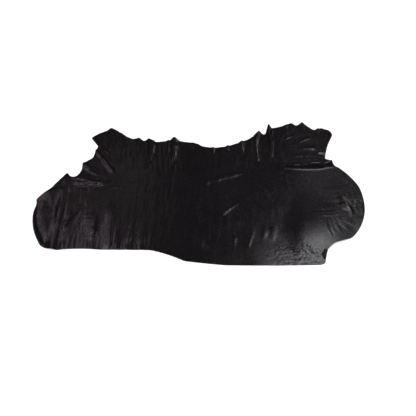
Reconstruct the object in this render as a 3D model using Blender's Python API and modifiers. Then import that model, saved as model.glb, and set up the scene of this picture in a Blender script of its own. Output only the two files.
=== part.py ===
# A leather side: half of a cowhide, cut along the backbone, lying loose with its grain side up.
# Metres, +Z up.  X runs along the backbone, Y from the backbone cut to the belly and shanks.
# The origin is the middle of the hide's box, on the surface that it lies on.

from collections import namedtuple

import bpy
import numpy as np
from mathutils import geometry

HIDE_NAME = "hide"
THICKNESS = 0.0016
EDGE_STEP = 0.015
FLAT_STEP = 0.050
FOLD_STEP = 0.023
CREST_STEP = 0.018
FLANK_ROWS = (0.0, -0.5, 0.5, -1.0, 1.0)
RAISED = 0.0008

# The cut edge, counter-clockwise from the left end of the backbone cut.  Each stretch runs from
# the end of the one before it to (x, y), and bow is how far its middle stands out of the chord.
Stretch = namedtuple("Stretch", "name x y bow")
EDGE = (
    Stretch("left corner", -0.950, -0.517, 0.012),
    Stretch("backbone cut, left end", -0.880, -0.527, 0.003),
    Stretch("backbone cut, shallow dip", -0.620, -0.525, -0.008),
    Stretch("backbone cut, left", -0.310, -0.528, 0.000),
    Stretch("backbone cut, slope", -0.095, -0.610, -0.008),
    Stretch("backbone cut, middle", 0.160, -0.641, 0.002),
    Stretch("backbone cut, right", 0.740, -0.638, 0.004),
    Stretch("right corner", 0.772, -0.618, 0.005),
    Stretch("step, rise", 0.795, -0.532, -0.002),
    Stretch("step, hollow", 0.860, -0.470, -0.006),
    Stretch("step, run", 0.960, -0.437, 0.000),
    Stretch("right lobe, near", 1.062, -0.288, 0.010),
    Stretch("right lobe, side", 1.096, -0.115, 0.009),
    Stretch("right lobe, turn", 1.085, 0.007, 0.004),
    Stretch("right lobe, far", 0.968, 0.185, 0.012),
    Stretch("right flank, hollow", 0.930, 0.219, -0.006),
    Stretch("right flank, nub", 0.918, 0.264, 0.006),
    Stretch("right flank, nick", 0.890, 0.272, 0.000),
    Stretch("right shank, side", 0.940, 0.438, -0.004),
    Stretch("right shank, hock", 0.978, 0.518, 0.000),
    Stretch("right shank, tip", 0.950, 0.577, 0.006),
    Stretch("right shank, end", 0.906, 0.600, -0.004),
    Stretch("right shank, dip", 0.840, 0.583, -0.007),
    Stretch("right shank, peak", 0.767, 0.643, 0.000),
    Stretch("right shank, gap", 0.718, 0.622, -0.004),
    Stretch("right shank, crown", 0.690, 0.645, 0.000),
    Stretch("right shank, slope", 0.612, 0.616, 0.004),
    Stretch("belly, spike foot", 0.526, 0.597, -0.002),
    Stretch("belly, spike", 0.506, 0.609, 0.000),
    Stretch("belly, spike drop", 0.481, 0.534, 0.000),
    Stretch("belly, hollow", 0.460, 0.530, -0.002),
    Stretch("belly, big ruffle crest", 0.436, 0.560, 0.004),
    Stretch("belly, big ruffle", 0.388, 0.510, 0.005),
    Stretch("belly, right", 0.325, 0.462, -0.004),
    Stretch("belly, right of middle", 0.215, 0.410, 0.000),
    Stretch("belly, middle", 0.104, 0.386, -0.002),
    Stretch("belly, left of middle", 0.008, 0.402, -0.002),
    Stretch("belly, shoulder", -0.035, 0.434, 0.003),
    Stretch("belly, second ruffle", -0.160, 0.457, 0.000),
    Stretch("belly, second ruffle crest", -0.194, 0.479, 0.004),
    Stretch("belly, between ruffles", -0.232, 0.463, 0.003),
    Stretch("belly, hollow by ruffle", -0.335, 0.446, -0.002),
    Stretch("belly, third ruffle crest", -0.382, 0.472, 0.003),
    Stretch("belly, third ruffle", -0.418, 0.457, 0.003),
    Stretch("belly, left ruffle crest", -0.464, 0.486, 0.003),
    Stretch("belly, left", -0.502, 0.479, 0.002),
    Stretch("left shank, slope", -0.610, 0.555, -0.006),
    Stretch("left shank, crown", -0.680, 0.597, 0.006),
    Stretch("left shank, nick", -0.734, 0.556, -0.004),
    Stretch("left shank, tip", -0.812, 0.490, 0.005),
    Stretch("left shank, side", -0.748, 0.398, 0.000),
    Stretch("left flank, nub", -0.764, 0.352, 0.002),
    Stretch("left flank, hollow", -0.775, 0.281, -0.003),
    Stretch("left flank, run", -0.838, 0.228, 0.000),
    Stretch("left flank, side", -0.838, 0.160, -0.003),
    Stretch("left notch, side", -0.868, 0.097, -0.005),
    Stretch("left notch, floor", -0.905, 0.099, -0.002),
    Stretch("left point", -0.932, 0.134, 0.000),
    Stretch("left lobe, far", -1.030, -0.027, 0.002),
    Stretch("left lobe, turn", -1.098, -0.117, 0.004),
    Stretch("left lobe, nick", -1.087, -0.162, -0.002),
    Stretch("left lobe, side", -1.093, -0.257, 0.005),
    Stretch("left lobe, near", -1.020, -0.459, 0.012),
)

# The main folds.  A crest runs from (x0, y0) to (x1, y1), bow is how far its middle stands to the
# left of that run, reach is how far each flank spreads, and start, middle and end are the height
# of the crest at those places along it.
Fold = namedtuple("Fold", "name x0 y0 x1 y1 bow reach start middle end")
FOLDS = (
    Fold("left lobe, long ridge", -0.931, 0.060, -0.923, -0.525, 0.003, 0.040, 0.003, 0.005, 0.005),
    Fold("left lobe, rolled rim", -1.062, -0.170, -0.985, -0.440, -0.018, 0.046, 0.004, 0.008, 0.005),
    Fold("left lobe, flap", -1.020, -0.060, -0.984, -0.146, 0.000, 0.044, 0.004, 0.004, 0.002),
    Fold("left lobe, slanting ridge", -0.800, -0.175, -0.880, -0.350, 0.004, 0.040, 0.002, 0.004, 0.003),
    Fold("left field, dimple ridge", -0.694, -0.215, -0.681, -0.420, 0.006, 0.050, 0.001, 0.005, 0.002),
    Fold("left field, broad swell", -0.590, -0.150, -0.575, -0.480, 0.000, 0.070, 0.001, 0.006, 0.004),
    Fold("left notch, crinkle", -0.880, 0.070, -0.620, 0.042, -0.016, 0.030, 0.005, 0.009, 0.002),
    Fold("left notch, drop", -0.890, 0.080, -0.892, -0.040, 0.000, 0.024, 0.004, 0.004, 0.001),
    Fold("left flank, facet", -0.832, 0.220, -0.745, 0.148, 0.000, 0.032, 0.006, 0.006, 0.002),
    Fold("left shank, ridge", -0.758, 0.355, -0.618, 0.160, 0.000, 0.032, 0.003, 0.007, 0.006),
    Fold("left shank, crown ridge", -0.680, 0.590, -0.630, 0.400, 0.000, 0.036, 0.006, 0.004, 0.001),
    Fold("belly, left ruffle", -0.460, 0.475, -0.449, 0.335, 0.000, 0.026, 0.011, 0.006, 0.001),
    Fold("belly, third ruffle", -0.384, 0.470, -0.398, 0.185, 0.020, 0.032, 0.014, 0.012, 0.002),
    Fold("belly, second ruffle", -0.198, 0.476, -0.198, 0.230, 0.000, 0.036, 0.018, 0.016, 0.002),
    Fold("belly, small ruffle", 0.293, 0.448, 0.308, 0.300, 0.000, 0.026, 0.012, 0.008, 0.001),
    Fold("belly, big ruffle", 0.436, 0.555, 0.406, 0.262, -0.014, 0.026, 0.010, 0.005, 0.004),
    Fold("belly, spike ridge", 0.514, 0.605, 0.512, 0.305, 0.006, 0.032, 0.036, 0.018, 0.004),
    Fold("right shank, inner ridge", 0.640, 0.618, 0.636, 0.500, 0.000, 0.026, 0.011, 0.005, 0.001),
    Fold("right shank, crown ridge", 0.686, 0.640, 0.680, 0.560, 0.000, 0.028, 0.010, 0.005, 0.001),
    Fold("right shank, peak ridge", 0.764, 0.634, 0.752, 0.520, 0.000, 0.038, 0.011, 0.005, 0.001),
    Fold("right shank, arc", 0.722, 0.440, 0.828, 0.490, 0.010, 0.026, 0.001, 0.005, 0.002),
    Fold("right shank, root ridge", 0.732, 0.370, 0.858, 0.350, 0.026, 0.028, 0.001, 0.006, 0.002),
    Fold("right flank, lip", 0.600, 0.208, 0.938, 0.240, -0.020, 0.036, 0.009, 0.029, 0.030),
    Fold("right flank, long back", 0.640, 0.120, 0.965, 0.140, 0.000, 0.110, 0.004, 0.007, 0.006),
    Fold("right lobe, sickle", 0.946, -0.092, 0.992, -0.255, 0.010, 0.046, 0.006, 0.010, 0.001),
    Fold("right lobe, cross swell", 0.600, -0.295, 1.000, -0.305, 0.000, 0.240, 0.001, 0.008, 0.002),
    Fold("right lobe, upright swell", 0.698, -0.230, 0.664, -0.570, 0.000, 0.180, 0.005, 0.010, 0.001),
    Fold("step, lifted corner", 0.783, -0.535, 0.776, -0.588, 0.000, 0.024, 0.003, 0.006, 0.003),
    Fold("field, long soft ridge", -0.060, -0.008, 0.330, 0.142, 0.012, 0.036, 0.001, 0.007, 0.001),
    Fold("backbone, left ripple", -0.433, -0.325, -0.454, -0.525, 0.000, 0.032, 0.002, 0.006, 0.006),
    Fold("backbone, right ripple", -0.358, -0.300, -0.366, -0.525, 0.000, 0.034, 0.001, 0.005, 0.005),
)


def bowed_run(start, end, bow, step):
    # Points from start to end: the chord, pushed sideways by 4 * bow * t * (1 - t).
    chord = end - start
    length = np.hypot(*chord)
    count = max(2, round(length / step) + 1)
    t = np.linspace(0.0, 1.0, count)[:, None]
    side = np.array([-chord[1], chord[0]]) / length
    return start + chord * t + side * 4.0 * bow * t * (1.0 - t)


def cut_edge():
    # The stretches joined end to end, with each joint eased by one averaging pass.
    corners = np.array([[stretch.x, stretch.y] for stretch in EDGE])
    runs = [
        bowed_run(corners[i - 1], corners[i], -stretch.bow, EDGE_STEP)[:-1]
        for i, stretch in enumerate(EDGE)
    ]
    ring = np.vstack(runs)
    return (np.roll(ring, 1, axis=0) + 2.0 * ring + np.roll(ring, -1, axis=0)) / 4.0


def crest_of(fold, step, aside=0.0):
    # The fold's crest, or a row beside it, shifted to the left of its run.
    start, end = np.array([fold.x0, fold.y0]), np.array([fold.x1, fold.y1])
    chord = end - start
    side = np.array([-chord[1], chord[0]]) / np.hypot(*chord)
    return bowed_run(start, end, fold.bow, step) + aside * side


def nearest_on_path(points, path):
    # Each point's distance to a path, and how far along the path it lies, from 0 to 1.
    distance = np.full(len(points), np.inf)
    along = np.zeros(len(points))
    spans = len(path) - 1
    for i in range(spans):
        a, span = path[i], path[i + 1] - path[i]
        t = np.clip((points - a) @ span / (span @ span), 0.0, 1.0)
        gap = np.hypot(*(points - a - t[:, None] * span).T)
        closer = gap < distance
        distance = np.where(closer, gap, distance)
        along = np.where(closer, (i + t) / spans, along)
    return distance, along


def heights(points):
    # Each fold lifts the hide by crest height * cos^2 across its reach.  Folds that meet add as
    # the root of their squares, so that they run into each other without a step.
    squares = np.zeros(len(points))
    for fold in FOLDS:
        distance, t = nearest_on_path(points, crest_of(fold, CREST_STEP))
        first_half = fold.start + (fold.middle - fold.start) * np.minimum(2.0 * t, 1.0)
        crest = first_half + (fold.end - fold.middle) * np.maximum(2.0 * t - 1.0, 0.0)
        across = np.cos(0.5 * np.pi * np.minimum(distance / fold.reach, 1.0)) ** 2
        squares += (crest * across) ** 2
    return np.sqrt(squares)


def lattice(step):
    # Rows of points half a step out of line with the next row, over the whole hide.
    span_x, span_y = 1.15, 0.70
    row = step * 0.75 ** 0.5
    x, y = np.meshgrid(np.arange(-span_x, span_x, step), np.arange(-span_y, span_y, row))
    x[1::2] += 0.5 * step
    return np.column_stack([x.ravel(), y.ravel()])


def inside(points, ring):
    # A point is inside when a ray along +X crosses the ring an odd number of times.
    crossings = np.zeros(len(points), dtype=int)
    for a, b in zip(ring, np.roll(ring, -1, axis=0)):
        spans = (a[1] > points[:, 1]) != (b[1] > points[:, 1])
        rise = np.where(spans, b[1] - a[1], 1.0)
        reach = a[0] + (points[:, 1] - a[1]) * (b[0] - a[0]) / rise
        crossings += spans & (points[:, 0] < reach)
    return crossings % 2 == 1


def add_points(placed, points, ring, gap):
    # Puts down the points that lie inside the cut edge and more than gap from all those placed.
    points = points[inside(points, ring)]
    offsets = points[:, None, :] - placed[None, :, :]
    nearest = np.hypot(offsets[..., 0], offsets[..., 1]).min(axis=1)
    return np.vstack([placed, points[nearest > gap]])


def hide_points(ring):
    # The cut edge, then each fold's crest with rows down its flanks, then a fine lattice where the
    # hide is raised and a coarse one over the flat rest.
    placed = ring
    for fold in FOLDS:
        for share in FLANK_ROWS:
            row = crest_of(fold, CREST_STEP, share * fold.reach)
            placed = add_points(placed, row, ring, 0.6 * CREST_STEP)
    fine = lattice(FOLD_STEP)
    placed = add_points(placed, fine[heights(fine) > RAISED], ring, 0.6 * FOLD_STEP)
    return add_points(placed, lattice(FLAT_STEP), ring, 0.45 * FLAT_STEP)


def leather_material():
    material = bpy.data.materials.new("black leather")
    material.use_nodes = True
    shader = material.node_tree.nodes["Principled BSDF"]
    shader.inputs["Base Color"].default_value = (0.012, 0.011, 0.012, 1.0)
    shader.inputs["Roughness"].default_value = 0.36
    shader.inputs["Metallic"].default_value = 0.0
    return material


def make_hide(collection):
    # Triangles over the cut edge's convex outline, less those that lie outside the edge itself.
    ring = cut_edge()
    flat = hide_points(ring)
    outline = [list(range(len(ring)))]
    verts, _, faces, *_ = geometry.delaunay_2d_cdt(flat.tolist(), [], outline, 0, 1e-6, False)
    plan = np.array([vert[:] for vert in verts])
    faces = np.array(faces)
    faces = faces[inside(plan[faces].mean(axis=1), ring)]
    shape = np.column_stack([plan, heights(plan)])

    mesh = bpy.data.meshes.new(HIDE_NAME)
    mesh.from_pydata(shape.tolist(), [], faces.tolist())
    mesh.shade_smooth()
    mesh.materials.append(leather_material())
    hide = bpy.data.objects.new(HIDE_NAME, mesh)
    collection.objects.link(hide)

    # The sheet is the flesh side, and the leather's thickness goes up from it.
    body = hide.modifiers.new("thickness", "SOLIDIFY")
    body.thickness = THICKNESS
    body.offset = 1.0
    return hide


for item in list(bpy.data.objects):
    bpy.data.objects.remove(item, do_unlink=True)
leather_side = bpy.data.collections.new("leather side")
bpy.context.scene.collection.children.link(leather_side)
make_hide(leather_side)
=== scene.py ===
import math

import bpy
import numpy as np
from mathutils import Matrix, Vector, geometry


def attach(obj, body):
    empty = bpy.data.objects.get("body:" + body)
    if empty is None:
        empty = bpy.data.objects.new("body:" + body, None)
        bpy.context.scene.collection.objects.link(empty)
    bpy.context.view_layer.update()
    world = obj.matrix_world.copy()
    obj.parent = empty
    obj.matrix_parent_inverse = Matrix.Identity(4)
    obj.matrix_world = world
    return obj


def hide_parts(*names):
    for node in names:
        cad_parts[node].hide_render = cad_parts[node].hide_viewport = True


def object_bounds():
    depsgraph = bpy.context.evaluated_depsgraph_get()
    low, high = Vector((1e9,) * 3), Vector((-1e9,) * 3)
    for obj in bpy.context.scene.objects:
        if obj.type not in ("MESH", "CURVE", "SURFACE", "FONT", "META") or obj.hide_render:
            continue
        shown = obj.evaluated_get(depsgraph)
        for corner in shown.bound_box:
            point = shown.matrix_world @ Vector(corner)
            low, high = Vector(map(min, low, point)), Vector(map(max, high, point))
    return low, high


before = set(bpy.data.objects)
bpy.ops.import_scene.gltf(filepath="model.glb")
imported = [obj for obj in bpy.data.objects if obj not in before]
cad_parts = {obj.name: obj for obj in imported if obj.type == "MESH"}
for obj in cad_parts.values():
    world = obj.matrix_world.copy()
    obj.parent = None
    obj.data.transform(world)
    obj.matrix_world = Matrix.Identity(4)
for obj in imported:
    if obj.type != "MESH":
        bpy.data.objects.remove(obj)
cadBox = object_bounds()

# A leather side lying loose on a pale floor, grain side up. Metres, in the frame's own axes.

hideLook = {
    "thickness": 0.0016,
    "edgeStep": 0.0060,        # spacing of points along the cut edge
    "latticeStep": 0.0052,     # finest spacing of points inside it
    "mostPoints": 47000,       # how many of those points are kept
    "edgeClear": 0.0036,       # lattice points keep this far from the cut edge
    "crestStep": 0.012,        # spacing of points along a fold's crest
    "crestWander": 0.003,      # how far a crest strays sideways
    "crestUneven": 0.22,       # share by which a crest's height comes and goes
    "thinEnd": 0.45,           # share of its reach that a fold keeps where it fades out
    "leastStretch": 0.05,      # length over which a narrow fold's crest strays
    "unevenSpacing": 0.8,      # the same for its height, as a share of that length
    "noiseSize": 61,           # corners each way before the noise repeats
    "easePasses": 3,           # how often the cut edge is smoothed
    "joinGap": 1e-7,           # points nearer than this are one
    "sharpAngle": 55.0,        # degrees, over which an edge stays sharp
}
tiny = 1e-9                    # keeps a division from zero

# The cut edge, counter-clockwise: each stretch ends at (x, y), and its middle bows out of its chord.
edgeStretches = [
    ("left corner", -0.950, -0.517, 0.012),
    ("backbone cut, left end", -0.880, -0.527, 0.003),
    ("backbone cut, shallow dip", -0.620, -0.525, -0.008),
    ("backbone cut, left", -0.310, -0.528, 0.000),
    ("backbone cut, slope", -0.095, -0.610, -0.008),
    ("backbone cut, middle", 0.160, -0.641, 0.002),
    ("backbone cut, right", 0.740, -0.638, 0.004),
    ("right corner", 0.772, -0.618, 0.005),
    ("step, rise", 0.795, -0.532, -0.002),
    ("step, hollow", 0.860, -0.470, -0.006),
    ("step, run", 0.960, -0.437, 0.000),
    ("right lobe, near", 1.062, -0.288, 0.010),
    ("right lobe, side", 1.096, -0.115, 0.009),
    ("right lobe, turn", 1.085, 0.007, 0.004),
    ("right lobe, far", 0.968, 0.185, 0.012),
    ("right flank, hollow", 0.930, 0.219, -0.006),
    ("right flank, nub", 0.918, 0.264, 0.006),
    ("right flank, nick", 0.890, 0.272, 0.000),
    ("right shank, side", 0.940, 0.438, -0.004),
    ("right shank, hock", 0.978, 0.518, 0.000),
    ("right shank, tip", 0.956, 0.580, 0.008),
    ("right shank, end", 0.906, 0.604, -0.004),
    ("right shank, dip", 0.840, 0.583, -0.007),
    ("right shank, peak", 0.767, 0.664, 0.000),
    ("right shank, gap", 0.718, 0.628, -0.004),
    ("right shank, crown", 0.690, 0.656, 0.000),
    ("right shank, slope", 0.612, 0.622, 0.004),
    ("belly, spike foot", 0.526, 0.597, -0.002),
    ("belly, spike", 0.503, 0.612, 0.000),
    ("belly, spike drop", 0.481, 0.534, 0.000),
    ("belly, hollow", 0.460, 0.530, -0.002),
    ("belly, big ruffle crest", 0.436, 0.566, 0.004),
    ("belly, big ruffle", 0.388, 0.510, 0.005),
    ("belly, right", 0.325, 0.462, -0.004),
    ("belly, right of middle", 0.215, 0.410, 0.000),
    ("belly, middle", 0.104, 0.386, -0.002),
    ("belly, left of middle", 0.008, 0.402, -0.002),
    ("belly, shoulder", -0.035, 0.434, 0.003),
    ("belly, second ruffle", -0.160, 0.457, 0.000),
    ("belly, second ruffle crest", -0.194, 0.481, 0.004),
    ("belly, between ruffles", -0.232, 0.463, 0.003),
    ("belly, hollow by ruffle", -0.335, 0.446, -0.002),
    ("belly, third ruffle crest", -0.382, 0.474, 0.003),
    ("belly, third ruffle", -0.418, 0.456, 0.003),
    ("belly, left ruffle crest", -0.464, 0.488, 0.003),
    ("belly, left", -0.502, 0.479, 0.002),
    ("left shank, slope", -0.610, 0.555, -0.006),
    ("left shank, crown", -0.680, 0.597, 0.006),
    ("left shank, nick", -0.734, 0.556, -0.004),
    ("left shank, tip", -0.812, 0.490, 0.005),
    ("left shank, side", -0.748, 0.398, 0.000),
    ("left flank, nub", -0.764, 0.352, 0.002),
    ("left flank, hollow", -0.775, 0.281, -0.003),
    ("left flank, run", -0.838, 0.228, 0.000),
    ("left flank, side", -0.838, 0.160, -0.003),
    ("left notch, side", -0.868, 0.097, -0.005),
    ("left notch, floor", -0.905, 0.099, -0.002),
    ("left point", -0.932, 0.138, 0.000),
    ("left lobe, far", -1.030, -0.027, 0.002),
    ("left lobe, turn", -1.098, -0.117, 0.004),
    ("left lobe, nick", -1.087, -0.162, -0.002),
    ("left lobe, side", -1.093, -0.257, 0.005),
    ("left lobe, near", -1.020, -0.459, 0.012),
]

# Each fold: its crest runs from (x0, y0) to (x1, y1) and bows to the left of that run; the widths
# of its left and right flanks; its height at the start, the pull of its middle and its height at
# the end; and its pinch, where under 1 makes the crest sharper and over 1 rounder.
folds = [
    ("left lobe, long fold", -0.931, 0.08, -0.923, -0.525, 0.003, 0.048, 0.03, 0.0016, 0.002, 0.003, 1.0),
    ("left lobe, flap fold", -1.02, -0.045, -0.984, -0.146, 0.0, 0.03, 0.085, 0.0024, 0.0018, 0.0005, 0.9),
    ("left lobe, upper rim", -1.005, -0.045, -0.94, 0.075, 0.0, 0.016, 0.024, 0.0015, 0.0025, 0.0015, 1.0),
    ("left lobe, rolled rim", -1.072, -0.17, -0.985, -0.45, -0.018, 0.13, 0.03, 0.004, 0.013, 0.006, 1.1),
    ("left lobe, slanting fold", -0.8, -0.175, -0.88, -0.35, 0.004, 0.04, 0.045, 0.0015, 0.0054, 0.003, 0.9),
    ("left lobe, first hem", -0.852, -0.4, -0.866, -0.52, 0.0, 0.018, 0.02, 0.0003, 0.0016, 0.002, 0.9),
    ("left lobe, second hem", -0.812, -0.375, -0.832, -0.522, 0.0, 0.018, 0.02, 0.0003, 0.0018, 0.002, 0.9),
    ("left lobe, third hem", -0.79, -0.385, -0.792, -0.52, 0.0, 0.022, 0.016, 0.0003, 0.0014, 0.0018, 0.9),
    ("left field, high tick", -0.764, -0.08, -0.752, -0.17, 0.0, 0.018, 0.022, 0.0003, 0.0028, 0.0003, 0.9),
    ("left field, dimple", -0.694, -0.215, -0.681, -0.42, 0.006, 0.03, 0.095, 0.001, 0.008, 0.002, 0.9),
    ("left field, broad fold", -0.582, -0.15, -0.566, -0.48, 0.0, 0.024, 0.1, 0.001, 0.01, 0.005, 0.9),
    ("left field, thin fold", -0.533, -0.28, -0.537, -0.52, 0.0, 0.05, 0.018, 0.0005, 0.0034, 0.0028, 0.9),
    ("left field, inner", -0.433, -0.325, -0.454, -0.525, 0.0, 0.022, 0.045, 0.002, 0.0044, 0.0034, 0.9),
    ("left field, last", -0.358, -0.3, -0.366, -0.52, 0.0, 0.03, 0.042, 0.0003, 0.0058, 0.0034, 1.0),
    ("left notch, far crinkle", -0.882, 0.082, -0.77, 0.07, 0.004, 0.014, 0.026, 0.004, 0.006, 0.002, 0.9),
    ("left notch, near crinkle", -0.868, 0.052, -0.77, 0.04, -0.004, 0.014, 0.024, 0.003, 0.004, 0.002, 0.9),
    ("left notch, streak", -0.8, 0.068, -0.618, 0.046, -0.016, 0.018, 0.046, 0.002, 0.0125, 0.002, 0.9),
    ("left notch, tail", -0.632, -0.002, -0.528, 0.004, 0.0, 0.016, 0.022, 0.0005, 0.005, 0.0005, 0.9),
    ("left notch, under fold", -0.778, -0.03, -0.6, -0.044, 0.008, 0.018, 0.05, 0.0005, 0.003, 0.0005, 0.9),
    ("left notch, wall", -0.89, 0.085, -0.892, -0.04, 0.0, 0.016, 0.016, 0.004, 0.003, 0.0005, 0.9),
    ("left flank, facet", -0.836, 0.226, -0.742, 0.146, 0.0, 0.02, 0.046, 0.006, 0.0066, 0.0015, 1.0),
    ("left flank, low fold", -0.79, 0.16, -0.69, 0.1, 0.0, 0.024, 0.024, 0.002, 0.004, 0.001, 1.0),
    ("left shank, fold", -0.76, 0.36, -0.616, 0.158, 0.0, 0.024, 0.04, 0.003, 0.008, 0.007, 0.8),
    ("left shank, upper fold", -0.745, 0.4, -0.64, 0.3, 0.0, 0.03, 0.026, 0.001, 0.0008, 0.0003, 1.0),
    ("left shank, crown fold", -0.68, 0.59, -0.62, 0.38, 0.0, 0.04, 0.03, 0.006, 0.004, 0.0005, 1.0),
    ("left shank, slope fold", -0.59, 0.54, -0.555, 0.33, 0.0, 0.036, 0.026, 0.007, 0.004, 0.0005, 1.0),
    ("belly, left ruffle", -0.46, 0.478, -0.449, 0.335, 0.0, 0.03, 0.018, 0.011, 0.006, 0.0005, 1.0),
    ("belly, third ruffle", -0.386, 0.474, -0.398, 0.18, 0.022, 0.045, 0.02, 0.014, 0.015, 0.002, 1.0),
    ("belly, by third ruffle", -0.352, 0.46, -0.338, 0.3, 0.0, 0.02, 0.012, 0.011, 0.008, 0.0005, 0.9),
    ("belly, second ruffle", -0.2, 0.482, -0.198, 0.225, 0.0, 0.056, 0.024, 0.018, 0.021, 0.002, 1.0),
    ("belly, by second ruffle", -0.238, 0.464, -0.236, 0.28, 0.0, 0.014, 0.018, 0.011, 0.007, 0.001, 0.9),
    ("belly, low tick", -0.058, 0.445, -0.05, 0.35, 0.0, 0.018, 0.014, 0.006, 0.003, 0.0005, 1.0),
    ("belly, middle tick", 0.089, 0.4, 0.092, 0.3, 0.0, 0.018, 0.014, 0.009, 0.006, 0.0005, 0.9),
    ("belly, right tick", 0.19, 0.42, 0.206, 0.325, 0.0, 0.018, 0.014, 0.01, 0.006, 0.0005, 0.9),
    ("belly, small ruffle", 0.293, 0.46, 0.308, 0.3, 0.0, 0.026, 0.018, 0.012, 0.01, 0.0005, 1.0),
    ("belly, by big ruffle", 0.372, 0.5, 0.362, 0.33, 0.0, 0.018, 0.018, 0.0026, 0.0012, 0.0003, 0.9),
    ("belly, big ruffle", 0.437, 0.575, 0.408, 0.262, -0.019, 0.024, 0.018, 0.009, 0.004, 0.0046, 1.0),
    ("belly, spike fold", 0.507, 0.62, 0.51, 0.3, 0.004, 0.03, 0.026, 0.036, 0.016, 0.004, 0.9),
    ("right shank, inner fold", 0.64, 0.625, 0.636, 0.5, 0.0, 0.026, 0.02, 0.004, 0.002, 0.0005, 1.0),
    ("right shank, crown fold", 0.686, 0.66, 0.68, 0.56, 0.0, 0.028, 0.026, 0.0036, 0.0012, 0.0005, 1.2),
    ("right shank, peak fold", 0.764, 0.67, 0.752, 0.53, 0.0, 0.05, 0.034, 0.007, 0.002, 0.0005, 1.2),
    ("right shank, end tick", 0.874, 0.598, 0.872, 0.535, 0.0, 0.02, 0.014, 0.015, 0.008, 0.0005, 0.9),
    ("right shank, first arc", 0.618, 0.476, 0.688, 0.508, 0.006, 0.016, 0.022, 0.001, 0.0076, 0.001, 0.8),
    ("right shank, next arc", 0.604, 0.434, 0.668, 0.455, 0.004, 0.014, 0.018, 0.0005, 0.0036, 0.0005, 0.9),
    ("right shank, long arc", 0.64, 0.398, 0.745, 0.45, 0.004, 0.018, 0.022, 0.0005, 0.003, 0.001, 0.8),
    ("right shank, bright arc", 0.722, 0.44, 0.828, 0.49, 0.01, 0.018, 0.022, 0.001, 0.008, 0.0015, 0.8),
    ("right shank, bright fold", 0.732, 0.37, 0.858, 0.35, 0.026, 0.022, 0.034, 0.001, 0.0092, 0.002, 0.9),
    ("right shank, hock fold", 0.85, 0.334, 0.926, 0.322, 0.004, 0.016, 0.026, 0.005, 0.0074, 0.0064, 0.9),
    ("right shank, low fold", 0.655, 0.292, 0.88, 0.3, 0.012, 0.026, 0.03, 0.001, 0.002, 0.001, 1.0),
    ("right flank, upper lip", 0.6, 0.207, 0.95, 0.242, -0.02, 0.026, 0.057, 0.009, 0.029, 0.023, 0.9),
    ("right lobe, sickle", 0.95, -0.105, 0.996, -0.255, 0.01, 0.04, 0.05, 0.005, 0.013, 0.001, 0.9),
    ("right lobe, foot", 0.926, -0.142, 1.002, -0.205, 0.006, 0.026, 0.048, 0.0003, 0.0135, 0.001, 1.0),
    ("right lobe, inner rim", 1.02, -0.1, 1.032, -0.225, 0.006, 0.02, 0.022, 0.0005, 0.004, 0.0005, 0.9),
    ("right lobe, rim", 1.06, -0.08, 1.062, -0.23, 0.01, 0.016, 0.02, 0.0005, 0.004, 0.001, 0.9),
    ("right lobe, long lip", 0.69, -0.236, 0.905, -0.222, 0.0, 0.018, 0.036, 0.0005, 0.0024, 0.0005, 0.8),
    ("right lobe, short lip", 0.78, -0.262, 0.9, -0.252, 0.0, 0.014, 0.022, 0.0005, 0.0036, 0.0005, 0.8),
    ("right lobe, ray one", 0.808, -0.275, 0.838, -0.42, -0.006, 0.012, 0.018, 0.001, 0.003, 0.0003, 0.8),
    ("right lobe, ray two", 0.826, -0.28, 0.862, -0.4, -0.004, 0.012, 0.012, 0.0006, 0.0012, 0.0003, 0.8),
    ("right lobe, ray three", 0.855, -0.29, 0.905, -0.39, -0.004, 0.014, 0.016, 0.0004, 0.0018, 0.0003, 0.9),
    ("right lobe, ray four", 0.885, -0.28, 0.955, -0.375, -0.006, 0.016, 0.018, 0.0004, 0.0018, 0.0003, 0.9),
    ("right lobe, ray five", 0.905, -0.262, 1.0, -0.335, -0.006, 0.016, 0.02, 0.0004, 0.0018, 0.0003, 0.9),
    ("right field, upright crease", 0.59, 0.12, 0.602, -0.02, 0.0, 0.014, 0.02, 0.0005, 0.003, 0.0005, 0.8),
    ("right field, rim tick", 1.01, 0.105, 1.008, 0.04, 0.0, 0.014, 0.014, 0.003, 0.005, 0.0005, 0.9),
    ("step, lifted corner", 0.784, -0.535, 0.776, -0.588, 0.0, 0.012, 0.02, 0.003, 0.01, 0.003, 1.0),
    ("backbone, crease lip", 0.541, -0.514, 0.634, -0.535, 0.0, 0.014, 0.022, 0.001, 0.006, 0.001, 0.8),
    ("field, long soft fold", -0.06, -0.008, 0.33, 0.142, 0.012, 0.034, 0.037, 0.001, 0.007, 0.001, 1.0),
    ("field, slanting fold", 0.15, -0.236, 0.3, -0.118, 0.006, 0.018, 0.026, 0.004, 0.0018, 0.0003, 0.9),
    ("field, dip", 0.155, -0.3, 0.275, -0.305, 0.0, 0.03, 0.05, 0.0005, 0.004, 0.0005, 1.0),
    ("field, short fold", 0.275, -0.075, 0.33, -0.115, 0.0, 0.014, 0.016, 0.0005, 0.003, 0.0005, 0.9),
    ("field, far tick", 0.37, 0.055, 0.48, -0.12, 0.0, 0.026, 0.022, 0.0005, 0.003, 0.0005, 1.0),
    ("field, arch", 0.215, -0.5, 0.292, -0.478, 0.062, 0.016, 0.024, 0.0005, 0.003, 0.0005, 0.9),
    ("field, arch side", 0.336, -0.345, 0.302, -0.505, 0.01, 0.022, 0.022, 0.0008, 0.0028, 0.0008, 0.9),
    ("field, first blob", 0.418, -0.352, 0.408, -0.43, 0.0, 0.03, 0.026, 0.0008, 0.0034, 0.0008, 1.0),
    ("field, second blob", 0.474, -0.335, 0.458, -0.45, 0.0, 0.034, 0.03, 0.0008, 0.0034, 0.0008, 1.0),
    ("field, first hem tick", 0.016, -0.42, 0.016, -0.52, 0.0, 0.012, 0.01, 0.0003, 0.0024, 0.0003, 0.9),
    ("field, second hem tick", 0.04, -0.45, 0.042, -0.55, 0.0, 0.012, 0.01, 0.0003, 0.0028, 0.0003, 0.9),
]

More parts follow.
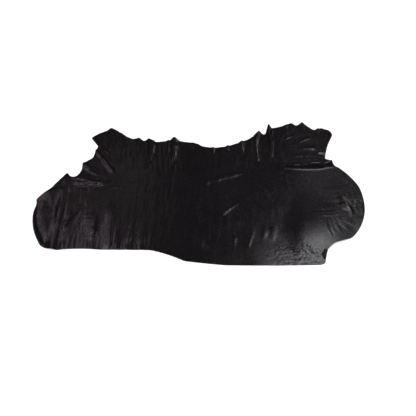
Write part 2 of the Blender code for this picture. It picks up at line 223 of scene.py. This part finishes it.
# Broad swells, too low to see from the side; they read as the folds do.
swells = [
    ("left field, first swell", -0.93, 0.0, -0.925, -0.53, 0.0, 0.14, 0.046, 0.001, 0.008, 0.005, 1.0),
    ("left lobe, near swell", -1.11, -0.085, -0.96, -0.02, 0.0, 0.05, 0.12, 0.005, 0.006, 0.002, 1.0),
    ("right, upright swell", 0.698, -0.23, 0.664, -0.58, 0.0, 0.3, 0.165, 0.006, 0.0165, 0.0005, 1.25),
    ("right, lower middle swell", 0.33, -0.3, 0.375, -0.62, 0.0, 0.19, 0.14, 0.001, 0.003, 0.003, 1.0),
    ("right lobe, cross swell", 0.6, -0.295, 1.0, -0.305, 0.0, 0.19, 0.4, 0.001, 0.0155, 0.002, 1.0),
    ("right flank, long back", 0.59, 0.206, 0.96, 0.23, -0.018, 0.04, 0.3, 0.006, 0.013, 0.009, 0.6),
    ("middle, far swell", -0.15, 0.06, 0.35, 0.18, 0.02, 0.11, 0.12, 0.0005, 0.005, 0.0005, 1.0),
]

# Creases cut down into the sheet; they read as the folds do, with depths for heights.
creases = [
    ("left lobe, long", -0.905, 0.08, -0.888, -0.525, 0.002, 0.026, 0.024, 0.0006, 0.0016, 0.005, 0.9),
    ("left lobe, foot", -0.894, -0.32, -0.886, -0.525, 0.0, 0.038, 0.034, 0.0003, 0.0036, 0.005, 0.9),
    ("left lobe, slanting", -0.792, -0.215, -0.862, -0.345, 0.004, 0.034, 0.034, 0.0006, 0.006, 0.0006, 0.9),
    ("right lobe, deep ray", 0.812, -0.27, 0.846, -0.43, -0.006, 0.014, 0.014, 0.0014, 0.0066, 0.0003, 0.7),
    ("right lobe, long", 0.72, -0.218, 0.9, -0.206, 0.0, 0.012, 0.012, 0.0003, 0.0022, 0.0003, 0.7),
    ("backbone", 0.541, -0.522, 0.634, -0.528, -0.004, 0.012, 0.012, 0.0005, 0.0026, 0.0005, 0.7),
]

# Zones of fine wrinkles: middle (x, y), half sizes, the way the wrinkles run in degrees from +X,
# their spacing across and along, and their height.
rippleZones = [
    ("left lobe", -0.93, -0.30, 0.26, 0.34, 86, 0.022, 0.13, 0.0012),
    ("left field", -0.60, -0.28, 0.40, 0.38, 92, 0.019, 0.18, 0.0017),
    ("left hem", -0.62, -0.48, 0.52, 0.13, 90, 0.013, 0.08, 0.0016),
    ("left crinkles", -0.72, -0.33, 0.10, 0.12, 4, 0.012, 0.05, 0.0014),
    ("left notch", -0.80, 0.05, 0.16, 0.11, 20, 0.014, 0.04, 0.0045),
    ("left shank", -0.68, 0.36, 0.22, 0.28, -62, 0.018, 0.16, 0.0026),
    ("shank root", -0.45, 0.02, 0.34, 0.16, 2, 0.014, 0.09, 0.0016),
    ("belly, left", -0.30, 0.34, 0.44, 0.24, 91, 0.019, 0.18, 0.0034),
    ("belly, right", 0.32, 0.34, 0.36, 0.20, 91, 0.016, 0.16, 0.0032),
    ("right shank", 0.72, 0.44, 0.32, 0.26, 68, 0.018, 0.12, 0.0018),
    ("right flank", 0.76, 0.32, 0.28, 0.10, 14, 0.014, 0.16, 0.0016),
    ("right lobe", 0.93, -0.14, 0.26, 0.20, 8, 0.017, 0.14, 0.0008),
    ("right lobe, fan", 0.92, -0.34, 0.20, 0.16, -52, 0.013, 0.12, 0.0006),
    ("right corner", 0.66, -0.57, 0.30, 0.13, 20, 0.010, 0.014, 0.0014),
    ("middle field", -0.05, -0.20, 0.80, 0.46, 87, 0.020, 0.22, 0.0017),
    ("left rim", -1.02, -0.27, 0.10, 0.24, 72, 0.013, 0.05, 0.0015),
]

# The wrinkles in a zone: how strongly each layer of noise counts, and how it is stretched.
rippleLook = {
    "base": 0.5,
    "coarse": 0.5,
    "fine": 0.3,
    "fineAlong": 2.1,          # the fine layer is this much closer than the coarse one
    "fineAcross": 2.3,
    "bend": 0.35,              # how far the wrinkles weave, as a share of their spacing
    "bendShift": 7.0,          # the weave reads the noise this far from the wrinkles
}

# Short folds that stand across the near cut.
hemLook = {
    "fromX": -0.990,
    "toX": -0.290,
    "y": -0.528,
    "spacing": 0.030,
    "uneven": 0.6,             # share by which spacing, length and height come and go
    "length": 0.055,
    "width": 0.010,
    "wideSide": 1.3,           # how much wider the right flank is
    "lean": 0.1,               # share of its length that a fold leans sideways
    "height": 0.0014,
    "middleShare": 0.6,
    "pinch": 0.9,
    "draw": 1.7,               # how far apart the folds read the noise
    "noiseRows": (0.3, 5.3, 10.3),
}

# Seeds of the noise. A row's number is added, so that no two rows of a table stray alike.
seeds = {
    "hem": 31,
    "wander": 100,
    "uneven": 200,
    "bend": 300,
    "coarse": 400,
    "fine": 500,
}
firstSwell = 500               # the rows of swells and creases are numbered on from these
firstCrease = 600


def noiseAt(x, y, seed):
    # Value noise: random heights at whole-number corners, eased in between, from -1 to 1.
    size = hideLook["noiseSize"]
    corners = np.random.default_rng(seed).uniform(-1.0, 1.0, (size, size))
    column, row = np.floor(x).astype(int), np.floor(y).astype(int)
    u, v = x - column, y - row
    u, v = u * u * (3.0 - 2.0 * u), v * v * (3.0 - 2.0 * v)
    left, right = column % size, (column + 1) % size
    low, high = row % size, (row + 1) % size
    near = corners[left, low] * (1.0 - u) + corners[right, low] * u
    far = corners[left, high] * (1.0 - u) + corners[right, high] * u
    return near * (1.0 - v) + far * v


def bowedRun(start, end, bow, step):
    # Points from start to end: the chord, pushed sideways by 4 * bow * t * (1 - t).
    chord = end - start
    length = np.hypot(*chord)
    t = np.linspace(0.0, 1.0, max(2, round(length / step) + 1))[:, None]
    side = np.array([-chord[1], chord[0]]) / length
    return start + chord * t + side * 4.0 * bow * t * (1.0 - t)


def cutEdge():
    # The stretches end to end, each point then eased towards the mean of its neighbours.
    corners = np.array([[x, y] for _, x, y, _ in edgeStretches])
    bows = [bow for *_, bow in edgeStretches]
    runs = [
        bowedRun(corners[i - 1], corners[i], -bow, hideLook["edgeStep"])[:-1]
        for i, bow in enumerate(bows)
    ]
    ring = np.vstack(runs)
    for _ in range(hideLook["easePasses"]):
        ring = (np.roll(ring, 1, axis=0) + 2.0 * ring + np.roll(ring, -1, axis=0)) / 4.0
    return ring


def sideAndReach(points, path):
    # Distance to a path, the share of the way along it, and the side: 1 on the left of its run,
    # -1 on the right, and the sine of the angle in between round its ends.
    best = np.full(len(points), np.inf)
    side = np.zeros(len(points))
    along = np.zeros(len(points))
    spans = len(path) - 1
    for i in range(spans):
        a, span = path[i], path[i + 1] - path[i]
        offset = points - a
        t = np.clip(offset @ span / (span @ span), 0.0, 1.0)
        gap = np.hypot(*(offset - t[:, None] * span).T)
        closer = gap < best
        best = np.where(closer, gap, best)
        across = (span[0] * offset[:, 1] - span[1] * offset[:, 0]) / np.hypot(*span)
        side = np.where(closer, across / np.maximum(gap, tiny), side)
        along = np.where(closer, (i + t) / spans, along)
    return best, np.clip(side, -1.0, 1.0), along


def foldLift(points, fold, seed):
    # Crest height * cos^2 of the distance over the flank's width. The crest is a curve with three
    # controls, start * (1 - t)^2 + 2 * middle * t * (1 - t) + end * t^2, made a little uneven, over
    # longer stretches where the fold is broad.
    _, x0, y0, x1, y1, bow, toLeft, toRight, start, middle, end, pinch = fold
    path = bowedRun(np.array([x0, y0]), np.array([x1, y1]), bow, hideLook["crestStep"])
    chord = path[-1] - path[0]
    length = np.hypot(*chord)
    side = np.array([-chord[1], chord[0]]) / length
    reach = max(toLeft, toRight)
    stretch = max(hideLook["leastStretch"], reach)
    stations = np.arange(len(path)) * hideLook["crestStep"] / stretch
    wander = noiseAt(stations, np.full(len(path), 0.5), seeds["wander"] + seed)
    path = path + (hideLook["crestWander"] * wander)[:, None] * side
    nearby = np.all((points > path.min(0) - reach) & (points < path.max(0) + reach), axis=1)
    gap, leftness, t = sideAndReach(points[nearby], path)
    crest = start * (1.0 - t) ** 2 + 2.0 * middle * t * (1.0 - t) + end * t ** 2
    highest = max(start, end, 0.25 * (start + 2.0 * middle + end))
    taper = hideLook["thinEnd"] + (1.0 - hideLook["thinEnd"]) * np.minimum(crest / highest, 1.0)
    spacing = hideLook["unevenSpacing"] * stretch
    uneven = noiseAt(t * length / spacing, np.zeros(len(t)), seeds["uneven"] + seed)
    crest *= 1.0 + hideLook["crestUneven"] * uneven
    flank = taper * 0.5 * ((1.0 + leftness) * toLeft + (1.0 - leftness) * toRight)
    share = np.minimum(gap / flank, 1.0) ** pinch
    lift = np.zeros(len(points))
    lift[nearby] = crest * np.cos(0.5 * np.pi * share) ** 2
    return lift


def hemTicks():
    # Fold rows along the near cut. Each has three chances from -1 to 1, for its spacing and lean,
    # its length and its height, from three rows of the noise that are well apart.
    ticks = []
    x = hemLook["fromX"]
    while x < hemLook["toX"]:
        place = np.array([len(ticks) * hemLook["draw"]])
        chance = noiseAt(place, np.array(hemLook["noiseRows"]), seeds["hem"])
        length = hemLook["length"] * (1.0 + hemLook["uneven"] * chance[1])
        height = hemLook["height"] * (1.0 + hemLook["uneven"] * chance[2])
        endX = x + hemLook["lean"] * length * chance[0]
        flanks = (hemLook["width"], hemLook["wideSide"] * hemLook["width"])
        heights = (height, hemLook["middleShare"] * height, 0.0)
        run = (x, hemLook["y"], endX, hemLook["y"] + length, 0.0)
        ticks.append(("hem tick", *run, *flanks, *heights, hemLook["pinch"]))
        x += hemLook["spacing"] * (1.0 + hemLook["uneven"] * chance[0])
    return ticks


def rippleHeights(points):
    # In each zone, noise stretched along the wrinkles, faded out over the zone's oval.
    look = rippleLook
    total = np.zeros(len(points))
    for number, zone in enumerate(rippleZones):
        _, x, y, halfX, halfY, turn, across, along, height = zone
        offset = points - np.array([x, y])
        fade = np.clip(1.0 - (offset[:, 0] / halfX) ** 2 - (offset[:, 1] / halfY) ** 2, 0.0, 1.0)
        angle = math.radians(turn)
        run = offset[:, 0] * math.cos(angle) + offset[:, 1] * math.sin(angle)
        cross = offset[:, 1] * math.cos(angle) - offset[:, 0] * math.sin(angle)
        weave = noiseAt(run / along + look["bendShift"], cross / along, seeds["bend"] + number)
        bend = look["bend"] * weave
        coarse = noiseAt(run / along, cross / across + bend, seeds["coarse"] + number)
        fineCross = look["fineAcross"] * cross / across + bend
        fine = noiseAt(look["fineAlong"] * run / along, fineCross, seeds["fine"] + number)
        mixed = look["base"] + look["coarse"] * coarse + look["fine"] * fine
        total += height * fade * mixed.clip(0.0, None)
    return total


def sheetLift(points):
    # Folds join as the root of their squares, swells and wrinkles are added, and creases taken off.
    squares = np.zeros(len(points))
    for number, fold in enumerate(folds + hemTicks()):
        squares += foldLift(points, fold, number) ** 2
    broad = np.zeros(len(points))
    for number, swell in enumerate(swells):
        broad += foldLift(points, swell, firstSwell + number)
    depth = np.zeros(len(points))
    for number, crease in enumerate(creases):
        depth = np.maximum(depth, foldLift(points, crease, firstCrease + number))
    return np.maximum(np.sqrt(squares) + broad + rippleHeights(points) - depth, 0.0)


def ringTests(points, ring):
    # For each point: whether it is inside the ring (a ray along +X crosses it an odd number of
    # times) and its distance to the ring's nearest point.
    odd = np.zeros(len(points), dtype=bool)
    near = np.full(len(points), np.inf)
    for a, b in zip(ring, np.roll(ring, -1, axis=0)):
        spans = (a[1] > points[:, 1]) != (b[1] > points[:, 1])
        rise = b[1] - a[1] if abs(b[1] - a[1]) > tiny else tiny
        odd ^= spans & (points[:, 0] < a[0] + (points[:, 1] - a[1]) * (b[0] - a[0]) / rise)
        near = np.minimum(near, np.hypot(points[:, 0] - a[0], points[:, 1] - a[1]))
    return odd, near


def latticePoints(step):
    # Even triangles over the hide's box: rows half a step out of line with each other, and a
    # triangle's height apart. Every second point of every second row is one of the coarse lattice.
    low, high = cadBox
    rowStep = step * 0.75 ** 0.5
    x, y = np.meshgrid(np.arange(low[0], high[0], step), np.arange(low[1], high[1], rowStep))
    column, row = np.meshgrid(np.arange(x.shape[1]), np.arange(x.shape[0]))
    x[1::2] += 0.5 * step
    coarse = (row % 2 == 0) & ((column + row // 2) % 2 == 0)
    return np.column_stack([x.ravel(), y.ravel()]), coarse.ravel()


def bendAt(points, step):
    # How far the sheet departs from the mean of six places around each point.
    around = np.zeros(len(points))
    for angle in np.arange(6) * math.pi / 3.0:
        around += sheetLift(points + step * np.array([math.cos(angle), math.sin(angle)])) / 6.0
    return np.abs(sheetLift(points) - around)


def sheetPoints(ring):
    # The coarse lattice everywhere, and the fine one where the sheet bends most.
    step = hideLook["latticeStep"]
    lattice, coarse = latticePoints(step)
    within, gap = ringTests(lattice, ring)
    kept = within & (gap > hideLook["edgeClear"])
    lattice, coarse = lattice[kept], coarse[kept]
    bend = np.where(coarse, np.inf, bendAt(lattice, step))
    order = np.argsort(-bend, kind="stable")
    return np.vstack([ring, lattice[order[:hideLook["mostPoints"]]]])


def makeHide():
    # A triangle mesh over the plan, with each point at its lift and the thickness hung below it.
    ring = cutEdge()
    flat = sheetPoints(ring).tolist()
    outline = [list(range(len(ring)))]
    joinGap = hideLook["joinGap"]
    verts, _, faces, *_ = geometry.delaunay_2d_cdt(flat, [], outline, 0, joinGap, False)
    plan = np.array(verts)
    faces = np.array(faces)
    faces = faces[ringTests(plan[faces].mean(axis=1), ring)[0]]
    lift = sheetLift(plan) + hideLook["thickness"]

    mesh = bpy.data.meshes.new("hideSheet")
    mesh.from_pydata(np.column_stack([plan, lift]).tolist(), [], faces.tolist())
    mesh.shade_smooth()
    sheet = bpy.data.objects.new("hideSheet", mesh)
    bpy.context.scene.collection.objects.link(sheet)

    body = sheet.modifiers.new("thickness", "SOLIDIFY")
    body.thickness = hideLook["thickness"]
    body.offset = -1.0
    body.material_offset = 1           # the underside is the second material, and the rim the third
    body.material_offset_rim = 2
    return sheet


def keepThickness(sheet):
    # The thickness becomes part of the mesh, so that the cut rim can have sharp corners.
    graph = bpy.context.evaluated_depsgraph_get()
    solid = bpy.data.meshes.new_from_object(sheet.evaluated_get(graph))
    sheet.modifiers.clear()
    sheet.data = solid
    solid.shade_smooth()
    solid.set_sharp_from_angle(angle=math.radians(hideLook["sharpAngle"]))


class Wire:
    # A shader socket that takes part in sums, so that maths on it adds Math nodes.
    def __init__(self, tree, socket=None):
        self.tree = tree
        self.socket = socket

    def node(self, kind, settings=None, **inputs):
        # Inputs go by name, with _ for a space, or by number, as in i0.
        made = self.tree.nodes.new(kind)
        for key, value in (settings or {}).items():
            setattr(made, key, value)
        for key, value in inputs.items():
            numbered = key[0] == "i" and key[1:].isdigit()
            slot = made.inputs[int(key[1:]) if numbered else key.replace("_", " ")]
            if isinstance(value, Wire):
                self.tree.links.new(value.socket, slot)
            else:
                slot.default_value = value
        return made

    def out(self, made, name=0):
        return Wire(self.tree, made.outputs[name])

    def feed(self, slot):
        self.tree.links.new(self.socket, slot)

    def noise(self, scale, detail, roughness):
        values = {"Scale": scale, "Detail": detail, "Roughness": roughness}
        return self.out(self.node("ShaderNodeTexNoise", Vector=self, **values), "Fac")

    def maths(self, operation, first, second):
        return self.out(self.node("ShaderNodeMath", {"operation": operation}, i0=first, i1=second))

    def __add__(self, other):
        return self.maths("ADD", self, other)

    __radd__ = __add__

    def __sub__(self, other):
        return self.maths("SUBTRACT", self, other)

    def __rsub__(self, other):
        return self.maths("SUBTRACT", other, self)

    def __mul__(self, other):
        return self.maths("MULTIPLY", self, other)

    __rmul__ = __mul__


def newMaterial(name):
    # A material with its shader, and the wire of the coordinates that its patterns read.
    material = bpy.data.materials.new(name)
    material.use_nodes = True
    tree = material.node_tree
    start = Wire(tree)
    place = start.out(start.node("ShaderNodeTexCoord"), "Object")
    return material, tree.nodes["Principled BSDF"], place


grainLook = {
    "black": (0.0024, 0.0020, 0.0024, 1.0),
    "worn": (0.0038, 0.0032, 0.0037, 1.0),
    "roughness": 0.22,
    "patchDulling": 0.16,      # how far the patches and the specks change the roughness
    "speckDulling": 0.50,
    "pebbleScale": 420.0,
    "wrinkleScale": 95.0,
    "patchScale": 7.0,
    "speckScale": 150.0,
    "pebbleHeight": 0.2,       # shares of the bump
    "wrinkleHeight": 0.6,
    "speckHeight": 0.4,
    "bumpDepth": 0.0012,
    "bumpStrength": 0.3,
}


def grainMaterial():
    # Fine wrinkles, pebbles and specks raise the grain. Broad patches shift its black a little,
    # and they and the specks make it duller or glossier.
    look = grainLook
    material, shader, place = newMaterial("blackGrain")
    cells = {"Vector": place, "Scale": look["pebbleScale"]}
    pebble = place.out(place.node("ShaderNodeTexVoronoi", {"feature": "F1"}, **cells), "Distance")
    wrinkle = place.noise(look["wrinkleScale"], detail=3.0, roughness=0.6)
    patch = place.noise(look["patchScale"], detail=4.0, roughness=0.55)
    speck = place.noise(look["speckScale"], detail=3.0, roughness=0.7)
    height = look["wrinkleHeight"] * wrinkle + look["pebbleHeight"] * (1.0 - pebble)
    height = height + look["speckHeight"] * speck
    depth = {"Distance": look["bumpDepth"], "Strength": look["bumpStrength"]}
    bump = place.node("ShaderNodeBump", Height=height, **depth)
    shades = {"i0": patch, "i6": look["black"], "i7": look["worn"]}
    colour = place.node("ShaderNodeMix", {"data_type": "RGBA"}, **shades)
    rough = look["roughness"] + look["patchDulling"] * (patch - 0.5)
    rough = rough + look["speckDulling"] * (speck - 0.5)
    place.out(colour, 2).feed(shader.inputs["Base Color"])
    rough.feed(shader.inputs["Roughness"])
    place.out(bump, "Normal").feed(shader.inputs["Normal"])
    return material


fleshLook = {
    "underside": (0.012, 0.011, 0.012, 1.0),
    "cutEdge": (0.010, 0.009, 0.010, 1.0),
    "roughness": 0.9,
    "napScale": 380.0,
    "bumpDepth": 0.0008,
    "bumpStrength": 0.6,
}


def fleshMaterial(name, colour):
    # Dull all over, with a fine nap as its bump.
    look = fleshLook
    material, shader, place = newMaterial(name)
    nap = place.noise(look["napScale"], detail=3.0, roughness=0.7)
    depth = {"Distance": look["bumpDepth"], "Strength": look["bumpStrength"]}
    bump = place.node("ShaderNodeBump", Height=nap, **depth)
    shader.inputs["Base Color"].default_value = colour
    shader.inputs["Roughness"].default_value = look["roughness"]
    place.out(bump, "Normal").feed(shader.inputs["Normal"])
    return material


studio = {
    "aim": (0.0526, -0.1858, 0.0),
    "elevation": 50.0,
    "distance": 3.6,
    "lens": 47.05,
    "sensor": 36.0,
    "worldColour": (1.0, 0.86, 0.92, 1.0),
    "worldStrength": 0.038,
    "backdropColour": (0.90, 0.90, 0.90, 1.0),     # what the camera itself sees past the floor
    "floorColour": (0.92, 0.92, 0.92, 1.0),
    "floorRoughness": 0.9,
    "floorHalf": 12.0,
    "floorLevel": -0.0006,     # just under the hide, so that the two don't share a plane
    "unmirrored": "overhead",  # it lights the floor, and doesn't show in the leather
}

# Lamps: place, the point that each faces, size across and up, power in watts and colour. Black
# leather shows little but what it mirrors, so each lamp beyond the hide stands where one part of
# it mirrors that lamp to the camera. Those in front and at the two sides do the same for someone
# who looks from behind or from an end.
lamps = [
    ("backRight", (1.58, 0.89, 3.20), (0.60, -0.50, 0.0), 1.06, 0.96, 15.0, (0.97, 0.96, 1.0)),
    ("backRightHalo", (1.84, 1.80, 3.24), (0.60, -0.50, 0.0), 1.15, 0.66, 2.8, (0.97, 0.96, 1.0)),
    ("lowRight", (1.04, 1.34, 3.22), (0.55, -0.55, 0.0), 0.4, 0.4, 1.5, (1.0, 0.93, 0.98)),
    ("lowMiddle", (0.70, 1.48, 3.20), (0.40, -0.50, 0.0), 0.44, 0.5, 0.34, (1.0, 0.80, 0.90)),
    ("sideRight", (1.84, 2.36, 3.20), (0.80, -0.10, 0.0), 1.12, 0.5, 0.36, (1.0, 0.95, 0.95)),
    ("lobeRight", (2.32, 2.05, 3.20), (0.95, -0.20, 0.0), 0.55, 0.7, 0.85, (0.97, 0.96, 1.0)),
    ("farSide", (3.50, 4.40, 3.20), (0.30, 0.35, 0.0), 1.0, 0.8, 10.0, (1.0, 0.92, 0.95)),
    ("farRight", (1.52, 3.80, 3.20), (0.60, 0.35, 0.0), 0.5, 0.6, 0.36, (1.0, 0.92, 0.95)),
    ("frontLeft", (-2.20, -6.20, 3.00), (-0.30, 0.00, 0.0), 2.2, 1.4, 40.0, (1.0, 0.98, 0.97)),
    ("frontRight", (2.60, -6.00, 3.20), (0.50, 0.00, 0.0), 1.6, 1.2, 30.0, (0.97, 0.98, 1.0)),
    ("frontMiddle", (0.30, -6.20, 3.10), (0.10, 0.00, 0.0), 1.8, 1.3, 30.0, (1.0, 0.98, 0.98)),
    ("leftSide", (-6.20, -1.60, 2.70), (0.00, 0.00, 0.0), 2.0, 1.4, 24.0, (1.0, 0.98, 0.98)),
    ("rightSide", (6.20, -1.40, 2.70), (0.00, 0.00, 0.0), 2.0, 1.4, 24.0, (0.97, 0.98, 1.0)),
    ("backLeft", (-2.52, 2.30, 3.20), (-0.80, -0.30, 0.0), 0.9, 1.0, 3.7, (1.0, 0.80, 0.92)),
    ("highLeft", (-1.45, 1.05, 3.20), (-0.70, 0.10, 0.0), 0.7, 0.7, 4.8, (1.0, 0.86, 0.94)),
    ("farLeft", (-1.10, 3.55, 3.20), (-0.60, 0.30, 0.0), 0.5, 1.2, 0.6, (1.0, 0.86, 0.95)),
    ("farMiddle", (0.35, 3.40, 3.20), (0.20, 0.30, 0.0), 0.5, 1.2, 0.25, (1.0, 0.88, 0.95)),
    ("midLeft", (-0.95, 2.40, 3.20), (-0.35, -0.10, 0.0), 0.55, 1.0, 0.24, (1.0, 0.88, 0.95)),
    ("nearLeft", (-1.60, 2.62, 3.20), (-0.60, -0.10, 0.0), 0.9, 0.5, 0.22, (1.0, 0.88, 0.95)),
    ("middle", (-0.10, 2.45, 3.20), (0.0, -0.10, 0.0), 0.25, 0.9, 0.025, (0.95, 0.92, 1.0)),
    ("midRight", (0.45, 2.40, 3.20), (0.25, -0.10, 0.0), 0.3, 0.9, 0.018, (0.95, 0.92, 1.0)),
    ("overhead", (0.0, 0.0, 8.0), (0.0, 0.0, 0.0), 40.0, 40.0, 6500.0, (1.0, 1.0, 1.0)),
]


def makeCamera():
    # Looks down at the aim point by the elevation, from the distance away towards -Y.
    elevation = math.radians(studio["elevation"])
    back = np.array([0.0, -math.cos(elevation), math.sin(elevation)])
    camera = bpy.data.objects.new("camera", bpy.data.cameras.new("camera"))
    camera.location = np.array(studio["aim"]) + back * studio["distance"]
    camera.rotation_euler = (math.pi / 2 - elevation, 0.0, 0.0)
    camera.data.lens = studio["lens"]
    camera.data.sensor_width = studio["sensor"]
    bpy.context.scene.collection.objects.link(camera)
    bpy.context.scene.camera = camera


def makeLamps():
    for name, place, target, across, up, power, colour in lamps:
        lamp = bpy.data.lights.new(name, "AREA")
        lamp.shape = "RECTANGLE"
        lamp.size, lamp.size_y = across, up
        lamp.energy = power
        lamp.color = colour
        holder = bpy.data.objects.new(name, lamp)
        holder.location = place
        facing = Vector(target) - Vector(place)
        holder.rotation_euler = facing.to_track_quat("-Z", "Y").to_euler()
        holder.visible_camera = False
        holder.visible_glossy = name != studio["unmirrored"]
        bpy.context.scene.collection.objects.link(holder)


def makeWorld():
    # Nearly dark where the leather mirrors it, and pale where the camera looks past the floor.
    world = bpy.data.worlds.new("studio")
    bpy.context.scene.world = world
    world.use_nodes = True
    tree = world.node_tree
    dark = tree.nodes["Background"]
    dark.inputs["Strength"].default_value = studio["worldStrength"]
    dark.inputs["Color"].default_value = studio["worldColour"]
    start = Wire(tree)
    seen = start.out(start.node("ShaderNodeLightPath"), "Is Camera Ray")
    pale = start.out(start.node("ShaderNodeBackground", Color=studio["backdropColour"]))
    both = start.node("ShaderNodeMixShader", i0=seen, i1=start.out(dark), i2=pale)
    start.out(both).feed(tree.nodes["World Output"].inputs["Surface"])


def makeFloor():
    half, level = studio["floorHalf"], studio["floorLevel"]
    sides = ((-half, -half), (half, -half), (half, half), (-half, half))
    mesh = bpy.data.meshes.new("floor")
    mesh.from_pydata([(x, y, level) for x, y in sides], [], [(0, 1, 2, 3)])
    material, shader, _ = newMaterial("paleFloor")
    shader.inputs["Base Color"].default_value = studio["floorColour"]
    shader.inputs["Roughness"].default_value = studio["floorRoughness"]
    mesh.materials.append(material)
    floor = bpy.data.objects.new("floor", mesh)
    floor.visible_glossy = False       # the leather mirrors the dark studio, and not the floor
    bpy.context.scene.collection.objects.link(floor)


print("sheet")
hideSheet = makeHide()
hideSheet.data.materials.append(grainMaterial())
hideSheet.data.materials.append(fleshMaterial("fleshSide", fleshLook["underside"]))
hideSheet.data.materials.append(fleshMaterial("cutEdge", fleshLook["cutEdge"]))
keepThickness(hideSheet)
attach(hideSheet, "root")
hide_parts("hide")

print("studio")
bpy.context.scene.view_settings.view_transform = "Standard"
makeCamera()
makeLamps()
makeWorld()
makeFloor()
